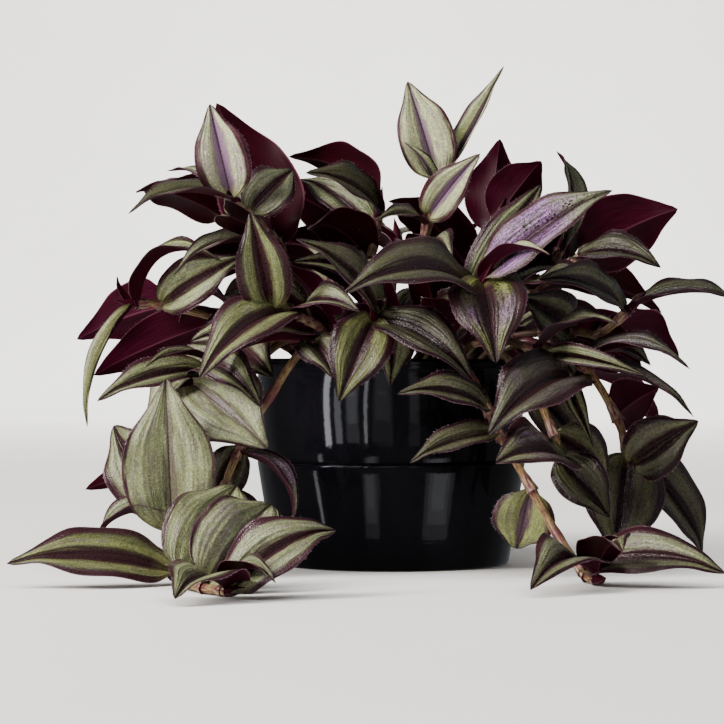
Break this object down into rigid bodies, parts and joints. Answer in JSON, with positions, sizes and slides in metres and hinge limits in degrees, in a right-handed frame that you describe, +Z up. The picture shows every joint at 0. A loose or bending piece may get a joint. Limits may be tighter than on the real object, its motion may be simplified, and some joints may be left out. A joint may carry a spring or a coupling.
{
  "type": "potted tradescantia",
  "caption": "Potted trailing houseplant with striped pointed leaves, in a glazed round pot that stands in a deep glazed saucer bowl.",
  "frame": {"origin": "centre of the saucer bowl's flat underside, where the pot's upright axis meets the surface", "axes": "+Z up along the pot's axis, front of the plant towards -Y, +X to the right in the front view"},
  "size_m": [0.3248, 0.3892, 0.2365],
  "materials": {
    "black_glaze": "gloss glaze",
    "potting_mix": "rough, crumbly",
    "foliage": "satin leaf surface"
  },
  "bodies": {
    "root": {"saucer_bowl": "black_glaze", "inner_pot": "black_glaze", "potting_mix": "potting_mix", "stem_upper_left": "foliage", "stem_left": "foliage", "stem_left_low": "foliage", "stem_left_trailing": "foliage", "stem_left_hanging": "foliage", "stem_front_left": "foliage", "stem_front": "foliage", "stem_front_right": "foliage", "stem_top": "foliage", "stem_top_left": "foliage", "stem_top_right": "foliage", "stem_right_high": "foliage", "stem_right": "foliage", "stem_right_middle": "foliage", "stem_right_low": "foliage", "stem_far_right": "foliage", "stem_right_trailing": "foliage", "stem_back_1": "foliage", "stem_back_2": "foliage", "stem_back_3": "foliage", "stem_back_4": "foliage", "stem_back_5": "foliage", "stem_back_6": "foliage", "stem_back_7": "foliage", "stem_back_8": "foliage", "stem_back_9": "foliage"}
  },
  "joints": []
}
